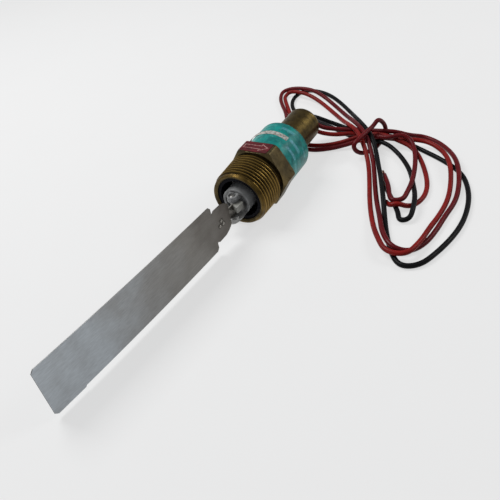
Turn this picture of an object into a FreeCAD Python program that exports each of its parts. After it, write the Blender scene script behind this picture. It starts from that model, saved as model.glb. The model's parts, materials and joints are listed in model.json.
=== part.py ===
"""Paddle flow switch: brass fitting, hinged paddle, sealed reed switch and three flying leads.

Millimetres, +Z up. The switch lies on a flat of its hexagon (Z = 0), its paddle points along -Y and
its capped end along +Y. Sizes along the axis are distances behind the mouth of the fitting ("behind"),
so anything in front of the mouth has a negative one.
"""
import FreeCAD, Part
import math
import os

V = FreeCAD.Vector
X_AXIS, Y_AXIS, Z_AXIS = V(1, 0, 0), V(0, 1, 0), V(0, 0, 1)

# ---------------------------------------------------------------- driving dimensions
HEX_ACROSS_FLATS = 34.0      # spanner size
HEX_START = 22.0             # behind the mouth
HEX_LENGTH = 11.0
HEX_CHAMFER_ANGLE = 30.0

THREAD_CREST_R = 16.3        # 1 inch taper pipe thread, crest radius at the mouth
THREAD_TAPER = 1.0 / 32.0    # radius gained per millimetre
THREAD_LENGTH = 19.4
RELIEF_R = 15.2              # turned groove between thread and hexagon
MOUTH_CHAMFER = 0.9

STEM_R = 16.3                # barrel that carries the label
STEM_END = 57.6
FRONT_BORE_R = 13.3
FRONT_BORE_DEPTH = 19.0
WELL_BORE_R = 8.5
CAP_SEAT_DEPTH = 11.6

CAP_R = 10.9
CAP_SHOULDER = 1.1              # step from the cap down to its spigot
CAP_SEAT_R = CAP_R - CAP_SHOULDER
CAP_LENGTH = 31.2            # from the end of the stem to the end of the dome
CAP_WALL = 3.3
CAP_CORNER = 3.6             # length of the rounded end
DOME_RISE = 1.0
BUSHING_R = 4.2

HUB_R = 8.2
HUB_REACH = 2.0              # hub face in front of the mouth
HUB_RIM = 1.7
POCKET_DEPTH = 7.0
FLANGE_THICKNESS = 4.0
WELL_R = 4.0
WELL_END = 44.0

PIN_REACH = 4.4              # hinge pin in front of the mouth
PIN_R = 1.0
PIN_RUNNING_GAP = 0.05
UPPER_EAR_FLOOR = 3.2        # heights of the ears above and below the axis
UPPER_EAR_TOP = 6.3
UPPER_EAR_HALF_WIDTH = 3.0
LOWER_EAR_TOP = 5.0
LOWER_EAR_R = 7.0            # round front of the lower ear, about the pin

ARM_THICKNESS = 0.8
ARM_LENGTH = 18.4            # from the pin
ARM_HALF_WIDTH = 4.0
PADDLE_LEAN = 3.97           # degrees, resting lean to -X
PADDLE_SWING = 18.0          # degrees, travel to +X

BLADE_THICKNESS = 0.4
BLADE_HALF_WIDTH = 14.3
BLADE_REACH = 142.0          # tip in front of the mouth
BLADE_ROOT = 12.2            # root in front of the mouth
BLADE_SHOULDER = 26.2
BLADE_BOW_R = 2005.0
BLADE_CORNER = 1.6
BLADE_TIP_START = 124.6         # from here to the tip the lower edge stands a little lower
BLADE_TIP_STEP = 0.65
NECK_ROOT_HALF_WIDTH = 7.4
NECK_HALF_WIDTH = 10.2
NOTCH_WIDTH = 1.8
NOTCH_FLOOR = 9.4
RIVET_R = 0.6
RIVET_HEAD_R = 0.95
RIVET_PLACES = ((20.0, 0.9), (21.7, -1.6), (18.7, -1.7))   # in front of the mouth, above the axis

LABEL_THICKNESS = 0.5
PLATE_THICKNESS = 0.25

LEAD_R = 1.4
LEAD_GAP = 0.05
LEAD_OFFSETS = ((0.0, 2.4), (-2.2, -1.4), (2.2, -1.4))     # black, red, crimson, seen from the front
BARE_R = 0.75
BARE_LENGTH = 7.0

# ---------------------------------------------------------------- places that follow from them
HEX_END = HEX_START + HEX_LENGTH
CAP_END = STEM_END + CAP_LENGTH
AXIS_Z = HEX_ACROSS_FLATS / 2
MOUTH_Y = (BLADE_REACH - CAP_END) / 2      # the origin lies under the middle of the length
PIN_Y = MOUTH_Y - PIN_REACH
KNUCKLE_IN_R = PIN_R + PIN_RUNNING_GAP
KNUCKLE_OUT_R = KNUCKLE_IN_R + ARM_THICKNESS
POCKET_R = HUB_R - HUB_RIM
FLANGE_START = FRONT_BORE_DEPTH - FLANGE_THICKNESS
PIN_BASE = V(0, PIN_Y, 0)


def at(behind):
    """Y of a place that many millimetres behind the mouth."""
    return MOUTH_Y + behind


# ---------------------------------------------------------------- shape helpers
def rod(r, start, end, x=0.0, up=0.0):
    """Cylinder along the axis of the switch."""
    return Part.makeCylinder(r, end - start, V(x, at(start), AXIS_Z + up), Y_AXIS)


def tube(r_out, r_in, start, end):
    """Round sleeve along the axis of the switch."""
    return rod(r_out, start, end).cut(rod(r_in, start - 1, end + 1))


def post(r, low, high, x=0.0, y=PIN_Y):
    """Upright cylinder between two heights above the axis."""
    return Part.makeCylinder(r, high - low, V(x, y, AXIS_Z + low), Z_AXIS)


def block(x0, x1, front, back, low, high):
    """Box between two distances in front of the mouth and two heights above the axis."""
    return Part.makeBox(x1 - x0, front - back, high - low, V(x0, MOUTH_Y - front, AXIS_Z + low))


def turned(profile):
    """Solid of revolution from (behind, radius) points and three-point arcs given as triples."""
    edges = []
    points = [p for p in profile]
    here = V(points[0][1], at(points[0][0]), AXIS_Z)
    first = here
    for step in points[1:]:
        if len(step) == 4:
            middle = V(step[1], at(step[0]), AXIS_Z)
            there = V(step[3], at(step[2]), AXIS_Z)
            edges.append(Part.Arc(here, middle, there).toShape())
        else:
            there = V(step[1], at(step[0]), AXIS_Z)
            edges.append(Part.LineSegment(here, there).toShape())
        here = there
    edges.append(Part.LineSegment(here, first).toShape())
    face = Part.Face(Part.Wire(edges))
    return face.revolve(V(0, 0, AXIS_Z), Y_AXIS, 360)


def torus(r, wire_r, behind):
    """Round seal about the axis."""
    return Part.makeTorus(r, wire_r, V(0, at(behind), AXIS_Z), Y_AXIS)


def hexagon(start, end):
    """Hexagonal prism lying on a flat."""
    corner_r = HEX_ACROSS_FLATS / 2 / math.cos(math.pi / 6)
    corners = [V(corner_r * math.cos(k * math.pi / 3), at(start),
                 AXIS_Z + corner_r * math.sin(k * math.pi / 3)) for k in range(6)]
    face = Part.Face(Part.makePolygon(corners + corners[:1]))
    return face.extrude(V(0, end - start, 0))


def leaned(shape):
    """Turn a piece of the paddle from straight ahead to its resting lean."""
    shape.rotate(PIN_BASE, Z_AXIS, -PADDLE_LEAN)
    return shape


# ---------------------------------------------------------------- fitting
def make_fitting_body():
    big_end = THREAD_CREST_R + THREAD_LENGTH * THREAD_TAPER
    threaded = turned([(0, FRONT_BORE_R - 2), (0, THREAD_CREST_R - MOUTH_CHAMFER),
                       (MOUTH_CHAMFER, THREAD_CREST_R), (THREAD_LENGTH, big_end),
                       (THREAD_LENGTH + 0.8, RELIEF_R), (HEX_START, RELIEF_R),
                       (HEX_START, WELL_BORE_R - 1), (HEX_START - 2, WELL_BORE_R - 1)])
    corner_r = HEX_ACROSS_FLATS / 2 / math.cos(math.pi / 6) + 0.1
    flat_r = HEX_ACROSS_FLATS / 2 - 0.1
    drop = (corner_r - flat_r) * math.tan(math.radians(HEX_CHAMFER_ANGLE))
    envelope = turned([(HEX_START, 0), (HEX_START, flat_r), (HEX_START + drop, corner_r),
                       (HEX_END - drop * 0.4, corner_r), (HEX_END, flat_r + 0.6 * (corner_r - flat_r)),
                       (HEX_END, 0)])
    stem = turned([(HEX_END - 1, 0), (HEX_END - 1, STEM_R), (STEM_END - 0.8, STEM_R),
                   (STEM_END, STEM_R - 0.8), (STEM_END, 0)])
    body = threaded.fuse([hexagon(HEX_START, HEX_END).common(envelope), stem])
    mouth_flare = turned([(-0.5, 0), (-0.5, FRONT_BORE_R + 1.3), (0.8, FRONT_BORE_R), (0.8, 0)])
    ring_groove = tube(FRONT_BORE_R + 0.9, FRONT_BORE_R - 1, FLANGE_START - 1.5, FLANGE_START - 0.1)
    return body.cut([rod(FRONT_BORE_R, -1, FRONT_BORE_DEPTH), mouth_flare, ring_groove,
                     rod(WELL_BORE_R, FRONT_BORE_DEPTH - 1, STEM_END + 1),
                     rod(CAP_SEAT_R, STEM_END - CAP_SEAT_DEPTH, STEM_END + 1)]).removeSplitter()


def make_label_sleeve():
    return tube(STEM_R + LABEL_THICKNESS, STEM_R, HEX_END + 0.3, STEM_END - 0.5)


def make_arrow_plate():
    flat_half = HEX_ACROSS_FLATS / 2 * math.tan(math.pi / 6)
    plate = Part.makeBox(2 * flat_half - 2.2, HEX_LENGTH - 1.3, PLATE_THICKNESS,
                         V(0.5 - flat_half, at(HEX_START + 0.8), HEX_ACROSS_FLATS))
    return plate.makeFillet(0.8, [e for e in plate.Edges if abs(e.BoundBox.ZLength - PLATE_THICKNESS) < 1e-6])


# ---------------------------------------------------------------- wet side inserts
def make_bore_liner():
    return tube(FRONT_BORE_R - 0.05, FRONT_BORE_R - 1.9, 1.4, FLANGE_START - 1.6)


def make_retaining_ring():
    ring = tube(FRONT_BORE_R + 0.8, FRONT_BORE_R - 1.5, FLANGE_START - 1.45, FLANGE_START - 0.15)
    return ring.cut(block(-4, 4, 0, -FLANGE_START, -FRONT_BORE_R - 2, -FRONT_BORE_R + 3))


def ear_outline(radius, back):
    """Upright slab with a round front about the pin, reaching back into the pocket."""
    slab = post(radius, -20, 20)
    return slab.fuse(block(-radius, radius, PIN_REACH, back, -20, 20))


def make_stop_lugs():
    """Two lugs on the lower ear that the strap meets at rest and at the end of its travel."""
    gap = 0.06
    middle = PIN_REACH + 5.0
    lugs = block(-1.1, 4.7, middle + 0.8, middle - 0.8, -LOWER_EAR_TOP - 0.3, 0.9 - LOWER_EAR_TOP + 0.7)
    rest, full = math.radians(-PADDLE_LEAN), math.radians(PADDLE_SWING - PADDLE_LEAN)

    def strap_point(face_x, angle, forward):
        return V(face_x * math.cos(angle) + forward * math.sin(angle),
                 PIN_Y + face_x * math.sin(angle) - forward * math.cos(angle), AXIS_Z - LOWER_EAR_TOP)

    corners = [strap_point(KNUCKLE_IN_R - gap, rest, 1), strap_point(KNUCKLE_IN_R - gap, rest, 9),
               strap_point(KNUCKLE_OUT_R + gap, full, 9), strap_point(KNUCKLE_OUT_R + gap, full, 1)]
    swept = Part.Face(Part.makePolygon(corners + corners[:1])).extrude(V(0, 0, 9))
    return lugs.cut(swept)


def make_hinge_hub():
    barrel = turned([(-HUB_REACH, 0), (-HUB_REACH, HUB_R - 0.4), (0.4 - HUB_REACH, HUB_R),
                     (FLANGE_START, HUB_R), (FLANGE_START, FRONT_BORE_R - 0.2),
                     (FRONT_BORE_DEPTH, FRONT_BORE_R - 0.2), (FRONT_BORE_DEPTH, WELL_BORE_R - 0.2),
                     (WELL_END, WELL_BORE_R - 0.2), (WELL_END, 0)])
    pocket_floor = POCKET_DEPTH - HUB_REACH
    hub = barrel.cut([rod(POCKET_R, -HUB_REACH - 1, pocket_floor),
                      rod(WELL_R, pocket_floor + 4, WELL_END + 1),
                      tube(FRONT_BORE_R, FRONT_BORE_R - 1.8, FLANGE_START + 1.1, FLANGE_START + 2.9)])
    upper = ear_outline(UPPER_EAR_HALF_WIDTH, -pocket_floor)
    upper = upper.common(block(-9, 9, 20, -pocket_floor, UPPER_EAR_FLOOR, UPPER_EAR_TOP))
    lower = ear_outline(LOWER_EAR_R, -pocket_floor).common(rod(HUB_R, -20, pocket_floor))
    lower = lower.common(block(-9, 9, 20, -pocket_floor, -HUB_R - 1, -LOWER_EAR_TOP))
    boss = post(PIN_R + 1.8, -HUB_R - 0.7, -LOWER_EAR_TOP)
    hub = hub.fuse([upper, lower, boss, make_stop_lugs()])
    head_recess = post(PIN_R + 1.1, UPPER_EAR_TOP - 1.0, UPPER_EAR_TOP + 1)
    return hub.cut([post(PIN_R, -20, 20), head_recess]).removeSplitter()


def make_hinge_pin():
    shank = post(PIN_R, -HUB_R - 2.4, UPPER_EAR_TOP - 1.0)
    head = post(PIN_R + 0.5, UPPER_EAR_TOP - 1.0, UPPER_EAR_TOP - 0.2)
    head = head.makeFillet(0.45, [max(head.Edges, key=lambda e: e.CenterOfMass.z)])
    groove_top = -HUB_R - 0.7
    groove = post(PIN_R + 1, groove_top - 0.6, groove_top)
    groove = groove.cut(post(PIN_R - 0.3, groove_top - 1, groove_top + 1))
    return shank.fuse(head).cut(groove).removeSplitter()


def make_pin_clip():
    top = -HUB_R - 0.7
    clip = post(PIN_R + 1.5, top - 0.5, top).cut(post(PIN_R - 0.25, top - 1, top + 1))
    mouth = Part.makeBox(1.3, 4, 2, V(-0.65, PIN_Y, AXIS_Z + top - 1))
    return clip.cut(mouth)


# ---------------------------------------------------------------- paddle
def arm_sheet():
    """Pressed strap with a knuckle rolled round the pin, straight ahead of the mouth."""
    knuckle = post(KNUCKLE_OUT_R, 0.3 - LOWER_EAR_TOP, -0.6)
    tip = PIN_REACH + ARM_LENGTH
    strap = block(KNUCKLE_IN_R, KNUCKLE_OUT_R, tip, PIN_REACH, -ARM_HALF_WIDTH, ARM_HALF_WIDTH - 1.1)
    rolled_in = block(KNUCKLE_IN_R, KNUCKLE_OUT_R, tip, PIN_REACH, 0.3 - LOWER_EAR_TOP, -0.6)
    spring_room = block(0, 4, PIN_REACH + 3, PIN_REACH - 3, -0.6, 20)
    ends = [e for e in strap.Edges if abs(e.CenterOfMass.y - (MOUTH_Y - tip)) < 1e-6 and e.BoundBox.XLength > 0.5]
    strap = strap.makeFillet(2.0, ends)
    rolled_in = rolled_in.common(block(0, 4, PIN_REACH + 5, PIN_REACH, -9, 9))
    return knuckle.fuse([strap.cut(spring_room), rolled_in])


def rivet_rods(radius, x0, x1):
    """One rod across the sheets at each rivet."""
    rods = []
    for reach, up in RIVET_PLACES:
        rods.append(Part.makeCylinder(radius, x1 - x0, V(x0, MOUTH_Y - reach, AXIS_Z + up), X_AXIS))
    return rods


def make_hinge_arm():
    sheet = arm_sheet().cut([post(KNUCKLE_IN_R, -20, 20)] + rivet_rods(RIVET_R, 0, 5))
    return leaned(sheet.removeSplitter())


def blade_band():
    """Thin upright wall, bowed to -X as the blade is."""
    face_x = KNUCKLE_OUT_R + 0.03
    centre = V(face_x + BLADE_THICKNESS / 2 - BLADE_BOW_R, PIN_Y - 10, 0)

    def on_arc(radius, distance):
        angle = distance / BLADE_BOW_R
        return centre + V(radius * math.cos(angle), -radius * math.sin(angle), 0)

    near, far = -15.0, BLADE_REACH + 20.0
    outer, inner = BLADE_BOW_R + BLADE_THICKNESS / 2, BLADE_BOW_R - BLADE_THICKNESS / 2
    outline = Part.Wire([
        Part.Arc(on_arc(outer, near), on_arc(outer, (near + far) / 2), on_arc(outer, far)).toShape(),
        Part.LineSegment(on_arc(outer, far), on_arc(inner, far)).toShape(),
        Part.Arc(on_arc(inner, far), on_arc(inner, (near + far) / 2), on_arc(inner, near)).toShape(),
        Part.LineSegment(on_arc(inner, near), on_arc(outer, near)).toShape()])
    band = Part.Face(outline).extrude(V(0, 0, HEX_ACROSS_FLATS))
    return leaned(band)


def blade_half_outline():
    """(in front of the mouth, half width) points of one edge, root to tip."""
    shoulder, half = BLADE_SHOULDER, BLADE_HALF_WIDTH
    return [(BLADE_ROOT, NECK_ROOT_HALF_WIDTH - 1.2), (BLADE_ROOT + 0.9, NECK_ROOT_HALF_WIDTH),
            (BLADE_ROOT + 3.2, NECK_HALF_WIDTH - 1.3), (BLADE_ROOT + 6.0, NECK_HALF_WIDTH - 0.2),
            (shoulder - NOTCH_WIDTH, NECK_HALF_WIDTH), (shoulder - NOTCH_WIDTH / 2, NOTCH_FLOOR),
            (shoulder, NOTCH_FLOOR), (shoulder, half - 1.6), (shoulder + 1.4, half),
            (BLADE_REACH - BLADE_CORNER, half), (BLADE_REACH, half - BLADE_CORNER)]


def make_paddle_blade():
    upper = blade_half_outline()
    lower = [(reach, -half) for reach, half in reversed(upper[:-2])]
    tip_half = BLADE_HALF_WIDTH + BLADE_TIP_STEP
    lower = [(BLADE_REACH, BLADE_CORNER - tip_half), (BLADE_REACH - BLADE_CORNER, -tip_half),
             (BLADE_TIP_START + 0.5, -tip_half), (BLADE_TIP_START, -BLADE_HALF_WIDTH)] + lower
    corners = [V(-40, MOUTH_Y - reach, AXIS_Z + up) for reach, up in upper + lower]
    cutter = Part.Face(Part.makePolygon(corners + corners[:1])).extrude(V(80, 0, 0))
    holes = [leaned(r) for r in rivet_rods(RIVET_R, -3, 8)]
    return blade_band().common(cutter).cut(holes)


def make_blade_rivets():
    under = KNUCKLE_IN_R
    over = KNUCKLE_OUT_R + 0.05 + BLADE_THICKNESS
    shanks = rivet_rods(RIVET_R, under, over)
    tails = rivet_rods(RIVET_HEAD_R, under - 0.35, under)
    heads = rivet_rods(RIVET_HEAD_R, over, over + 0.35)
    rivets = []
    for shank, tail, head in zip(shanks, tails, heads):
        crown = max(head.Edges, key=lambda e: e.CenterOfMass.x)
        rivets.append(leaned(shank.fuse([tail, head.makeFillet(0.3, [crown])]).removeSplitter()))
    return Part.makeCompound(rivets)


MAGNET_R = 1.4
HOLDER_LOW = -0.6            # above the axis
HOLDER_TOP = UPPER_EAR_FLOOR - 0.25
HOLDER_OUT = KNUCKLE_OUT_R + 4.1
HOLDER_PLAN = [              # X and the distance in front of the mouth
    (KNUCKLE_OUT_R, PIN_REACH + 3.4), (HOLDER_OUT - 0.25, PIN_REACH + 5.5),
    (HOLDER_OUT, PIN_REACH - 0.8), (KNUCKLE_OUT_R, PIN_REACH - 1.4)]


def magnet_rod(length):
    middle = V(KNUCKLE_OUT_R + 2.05, PIN_Y + 1.0 - length, AXIS_Z + (HOLDER_LOW + HOLDER_TOP) / 2)
    return Part.makeCylinder(MAGNET_R, length, middle, Y_AXIS)


def make_magnet_holder():
    corners = [V(x, MOUTH_Y - reach, AXIS_Z + HOLDER_LOW) for x, reach in HOLDER_PLAN]
    holder = Part.Face(Part.makePolygon(corners + corners[:1])).extrude(V(0, 0, HOLDER_TOP - HOLDER_LOW))
    outer = [e for e in holder.Edges if e.CenterOfMass.x > HOLDER_OUT - 0.6 and e.BoundBox.ZLength > 1]
    return leaned(holder.makeFillet(0.4, outer).cut(magnet_rod(4.3)))


def make_magnet():
    return leaned(magnet_rod(4.2))


def make_return_spring():
    """Torsion spring round the pin, above the knuckle."""
    wire_r, coil_r, turns = 0.22, 1.53, 5
    height = UPPER_EAR_FLOOR - 0.3 + 0.6 - 4 * wire_r
    helix = Part.makeHelix(height / turns, height, coil_r)
    helix.translate(V(0, PIN_Y, AXIS_Z - 0.6 + 2 * wire_r))
    start = helix.Vertexes[0].Point
    section = Part.Wire([Part.Circle(start, Y_AXIS, wire_r).toShape()])
    coil = Part.Wire(helix.Edges).makePipeShell([section], True, True)
    end = V(coil_r, PIN_Y, start.z + height)
    moving_leg = Part.makeCylinder(wire_r, 2.0, start, V(0, -1, 0))
    fixed_leg = Part.makeCylinder(wire_r, 4.4, end, Y_AXIS)
    return coil.fuse([moving_leg, fixed_leg])


# ---------------------------------------------------------------- dry side
def make_cap():
    inner_r = CAP_R - CAP_WALL
    seat = STEM_END - CAP_SEAT_DEPTH + 0.2
    corner = CAP_END - CAP_CORNER
    outside = turned([(seat, 0), (seat, CAP_SEAT_R - 0.05), (STEM_END, CAP_SEAT_R - 0.05), (STEM_END, CAP_R),
                      (corner, CAP_R),
                      (corner + 0.62 * CAP_CORNER, CAP_R - 0.8, CAP_END - DOME_RISE, CAP_R - 3.0),
                      (CAP_END - 0.3 * DOME_RISE, BUSHING_R + 1.6, CAP_END, BUSHING_R), (CAP_END, 0)])
    groove = tube(CAP_SEAT_R + 1, CAP_SEAT_R - 1.3, seat + 2.4, seat + 4.0)
    bushing_hole = rod(BUSHING_R, CAP_END - 5, CAP_END + 1)
    return outside.cut([rod(inner_r, seat - 1, CAP_END - 3.6), bushing_hole, groove])


def make_lead_bushing():
    flange = rod(CAP_R - CAP_WALL - 0.2, CAP_END - 6.6, CAP_END - 3.6)
    bushing = flange.fuse(rod(BUSHING_R, CAP_END - 3.6, CAP_END))
    return bushing.cut([rod(LEAD_R + LEAD_GAP, CAP_END - 8, CAP_END + 1, x, up) for x, up in LEAD_OFFSETS])


def make_potting():
    plug = rod(CAP_R - CAP_WALL, STEM_END - 1, CAP_END - 6.6)
    return plug.cut([rod(LEAD_R + LEAD_GAP, STEM_END - 2, CAP_END, x, up) for x, up in LEAD_OFFSETS])


SPLICE_START = WELL_END + 0.6
SPLICE_LENGTH = 6.0
REED_START = 13.0
REED_LENGTH = 15.0
REED_R = 1.35
REED_BLADE = 0.25


def make_splices():
    end = SPLICE_START + SPLICE_LENGTH
    return Part.makeCompound([rod(1.6, SPLICE_START, end, x, up) for x, up in LEAD_OFFSETS])


def make_inner_leads():
    start = SPLICE_START + SPLICE_LENGTH
    return Part.makeCompound([rod(LEAD_R, start, LEAD_START, x, up) for x, up in LEAD_OFFSETS])


def make_reed_capsule():
    outer = rod(REED_R, REED_START, REED_START + REED_LENGTH)
    outer = outer.makeFillet(0.9, [e for e in outer.Edges if isinstance(e.Curve, Part.Circle)])
    return outer.cut(rod(REED_R - 0.3, REED_START + 1, REED_START + REED_LENGTH - 1))


def reed_strip(x, start, end, low, high):
    return Part.makeBox(0.5, end - start, high - low, V(x, at(start), AXIS_Z + low))


def make_reed_contacts():
    end = REED_START + REED_LENGTH
    common = reed_strip(-0.25, REED_START - 1.6, end - 3.5, -REED_BLADE / 2, REED_BLADE / 2)
    upper = reed_strip(-0.25, end - 5, end + 2, REED_BLADE / 2 + 0.1, REED_BLADE * 1.5 + 0.1)
    lower = reed_strip(-0.25, end - 5, end + 2, -REED_BLADE * 1.5 - 0.02, -REED_BLADE / 2 - 0.02)
    return Part.makeCompound([common, upper, lower])


def make_reed_carrier():
    inner_end = POCKET_DEPTH - HUB_REACH + 4.2
    carrier = rod(WELL_R - 0.15, inner_end, WELL_END).cut(rod(REED_R + 0.05, inner_end - 1, WELL_END + 1))
    window = Part.makeBox(12, WELL_END, 12, V(-6, at(inner_end - 1), AXIS_Z + 0.2))
    return carrier.cut(window)


def make_reed_tails():
    """Tinned wires from the reed to the splices."""
    end = REED_START + REED_LENGTH + 2
    tails = [rod(0.3, end, SPLICE_START, 0, 0.75)]
    tails.append(rod(0.3, end, SPLICE_START, 0, -0.75))
    tails.append(rod(0.3, REED_START - 1.6, SPLICE_START, 2.2, 0.55))
    return Part.makeCompound(tails)


# ---------------------------------------------------------------- leads
LEAD_START = CAP_END - 0.4                  # inside the bushing
LEAD_STRAIGHT = 4.5                         # run before the first bend
LAY_SHIFT = at(LEAD_START) - 115.0          # the routes below are laid for an exit at Y = 115
BLACK_LAY = [
    (1, 126.5, 15.5), (4, 132, 11), (9.5, 134.6, 7.6), (15, 135, 6), (21.5, 134.3, 4.6),
    (28.5, 133.2, 3.4), (37, 132, 3.2), (45, 131.8, 4.6), (53, 131.6, 4.6), (62, 130, 2), (72.3, 125.2, 1.5),
    (84.3, 118.6, 1.5), (94.6, 111.6, 1.5), (102.5, 103.5, 1.5), (108, 91.5, 1.5), (111.2, 78.3, 1.5),
    (112.2, 63, 1.5), (110.4, 49, 1.5), (106.3, 35, 1.5), (101.2, 23, 1.5), (92.4, 19, 1.5),
    (85.4, 27, 1.5), (78, 42, 1.5), (72.8, 55, 1.6), (67.7, 67.5, 6.2), (60.3, 85.5, 5),
    (54, 99.5, 4.4), (48.9, 110.2, 6.6), (43.6, 118.8, 10), (36.4, 127.4, 10.9), (27.2, 140, 8.2),
    (15.1, 157.6, 3), (1.7, 172.7, 1.5), (-11.3, 183.4, 1.5), (-23.8, 188.5, 1.5), (-34.5, 187, 1.5),
    (-37.4, 176.3, 1.5), (-34.5, 164.5, 1.5), (-27, 153.8, 1.5), (-16.5, 148, 1.5), (-4, 143.3, 1.5),
    (9, 138.5, 1.5), (22.5, 131.5, 1.5), (36, 125.4, 2), (44.5, 124.4, 4.5), (52, 122, 4.5),
    (59, 118.6, 2.2), (67, 109.8, 1.5), (73.4, 99.8, 1.5), (78.9, 87, 1.5), (83.5, 74.5, 4.3),
    (86, 63, 4.4), (86.4, 55.4, 2.4), (81.2, 53.4, 1.5), (78.4, 60.4, 1.5), (74.5, 66.5, 1.5),
    (70, 73.5, 1.5), (64.8, 81, 1.5)]
RED_LAY = [
    (-0.5, 122.6, 9.5), (5.5, 122.3, 6.8), (12, 123.8, 5.2), (18.5, 126.2, 4.4), (27, 129.3, 4.9),
    (36.5, 128.9, 3.6), (45, 128.4, 4.6), (52.5, 128.3, 4.6), (60, 128.5, 5.1), (67.5, 130.2, 4.9),
    (76, 129.8, 4.5), (85, 123.2, 4.5), (91.5, 114, 4.5), (95.8, 102.4, 4.5), (98.8, 89.8, 1.6),
    (100.3, 76.3, 1.5), (99.3, 62.5, 1.5), (98.2, 50.5, 3.4), (97.3, 37, 4.5), (93.8, 25, 4.5),
    (83.2, 24.2, 4.5), (75.8, 34, 4.5), (69, 46.5, 1.8), (61.2, 64, 1.5), (54.2, 83.6, 1.5),
    (48.5, 98.5, 2.4), (43.6, 107.6, 5.6), (39.4, 113.1, 9.6), (32.4, 122.9, 10.8), (24.4, 131.2, 9.2),
    (13.4, 145.8, 3.2), (-0.3, 159.8, 1.6), (-14.6, 170.6, 3), (-26.5, 176, 4.8), (-36.5, 178.3, 4.7),
    (-43.2, 180, 3), (-44.8, 174.3, 1.6), (-40.5, 167, 1.5), (-33, 156.3, 1.5), (-26.8, 147.2, 1.5),
    (-20, 136, 1.5), (-10.5, 122, 1.5), (-1, 113.2, 1.5), (9.5, 114.2, 1.5), (20, 119, 2),
    (28.5, 123.2, 4.2), (36.5, 127, 6.2), (45, 127.6, 7.5), (51.5, 126.8, 7.1), (59, 125.2, 5.6),
    (66, 124, 3.9), (72.5, 118.5, 2), (79, 107.3, 1.5), (84.6, 94.5, 1.5), (87.4, 84, 1.5),
    (87.3, 74.5, 1.6), (83.3, 66.5, 1.6), (76.8, 63.6, 4.9), (72.4, 62.9, 2.9), (69.5, 67.5, 1.5)]
CRIMSON_LAY = [
    (4.2, 123.4, 11.8), (8, 125.6, 8.4), (14, 128.4, 6.8), (22, 131, 5.8), (31, 132.6, 6.2),
    (39, 132.2, 6.6), (46.5, 132, 7.4), (54, 133, 7.3), (62, 136, 4), (69, 141, 1.5),
    (79.2, 136.6, 1.5), (88.5, 126.5, 2.8), (95, 115.8, 4.4), (99.8, 104.2, 4.4), (103, 91.2, 1.8),
    (104.3, 77.8, 1.5), (102.3, 63.4, 1.5), (101.2, 50, 1.5), (98.8, 38.7, 1.5), (93.3, 30.2, 1.8),
    (84.6, 28.8, 4.2), (77, 38.3, 4.4), (71.4, 51, 4.2), (64.3, 66.5, 1.8), (57.2, 84.2, 1.5),
    (51.5, 99.2, 2.6), (46.3, 109, 6), (41, 117.5, 9.8), (34.8, 124.9, 11.2), (24.9, 137.7, 8.4),
    (12.7, 153.6, 3), (-1.2, 168.1, 1.6), (-13.1, 175.6, 4.4), (-26.6, 183.9, 4.8), (-41.4, 184.8, 4.2),
    (-50, 181.5, 2.2), (-47.2, 171.5, 1.5), (-41, 162, 1.5), (-33, 151.8, 1.5), (-24.8, 137.5, 1.5),
    (-15.5, 122.5, 1.5), (-5, 110, 1.5), (7, 107.6, 1.5), (19, 113.4, 1.6), (29, 118.8, 3.4),
    (37, 123.4, 5.4), (45, 124.2, 7.5), (52.5, 123.4, 8.3), (59.5, 126.6, 9.6), (65.5, 125.8, 7.6),
    (69.8, 119.5, 5.4), (73.3, 110, 4.4), (76.9, 95.5, 4.5), (78.6, 84, 4.7), (78.8, 75.8, 4.5),
    (78.8, 68.2, 4.6), (73.2, 65.5, 4.6), (70, 71, 4.4), (67.2, 78.5, 4.4), (62.5, 87.5, 3.2),
    (60, 92.5, 1.8)]
ARC_SHARE = 0.45             # of the shorter run beside a bend
TIE_ROUTE = [(45, 120.5, 1.5), (46.5, 133.8, 1.5), (46.5, 136.8, 5.8), (45.4, 135.4, 11.3),
             (43.4, 130.4, 16.4), (41.6, 126.5, 13.2), (40.3, 120.5, 13.2), (38.4, 111, 12.8),
             (35.8, 106.3, 10.6), (36.8, 107.5, 5.5), (40.5, 112, 1.5), (43.6, 117.6, 1.5)]


def bend(before, corner, after):
    """Arc that rounds a corner of a route: its first, middle and last points, and its radius."""
    a, b = before - corner, after - corner
    turn = math.pi - a.getAngle(b)
    trim = ARC_SHARE * min(a.Length, b.Length)
    radius = trim / math.tan(turn / 2)
    a.normalize()
    b.normalize()
    bisector = (a + b).normalize()
    middle = corner + bisector * (radius / math.cos(turn / 2) - radius)
    return corner + a * trim, middle, corner + b * trim, radius


def laid(offset, lay):
    """Route of one lead: out of its hole in the bushing, then along its lay on the table."""
    x, up = offset
    leaving = [(x, at(LEAD_START), AXIS_Z + up), (x, at(LEAD_START) + LEAD_STRAIGHT, AXIS_Z + up - 0.2)]
    return leaving + [(px, py + LAY_SHIFT, pz) for px, py, pz in lay]


def lead_path(route):
    """Straight runs joined by tangent arcs, and the smallest arc radius."""
    points = [V(*p) for p in route]
    edges, radii, here = [], [], points[0]
    for before, corner, after in zip(points, points[1:], points[2:]):
        first, middle, last, radius = bend(before, corner, after)
        edges.append(Part.LineSegment(here, first).toShape())
        edges.append(Part.Arc(first, middle, last).toShape())
        radii.append(radius)
        here = last
    edges.append(Part.LineSegment(here, points[-1]).toShape())
    return Part.Wire(edges), min(radii)


def make_lead(name, route):
    path, radius = lead_path(route)
    start, second = V(*route[0]), V(*route[1])
    section = Part.Wire([Part.Circle(start, second - start, LEAD_R).toShape()])
    lead = path.makePipeShell([section], True, False)
    expected = math.pi * LEAD_R ** 2 * path.Length
    print(name, "length %.1f" % path.Length, "smallest radius %.1f" % radius,
          "volume ratio %.4f" % (lead.Volume / expected), "valid", lead.isValid())
    return lead


BLACK_ROUTE = laid(LEAD_OFFSETS[0], BLACK_LAY)
RED_ROUTE = laid(LEAD_OFFSETS[1], RED_LAY)
CRIMSON_ROUTE = laid(LEAD_OFFSETS[2], CRIMSON_LAY)


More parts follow.
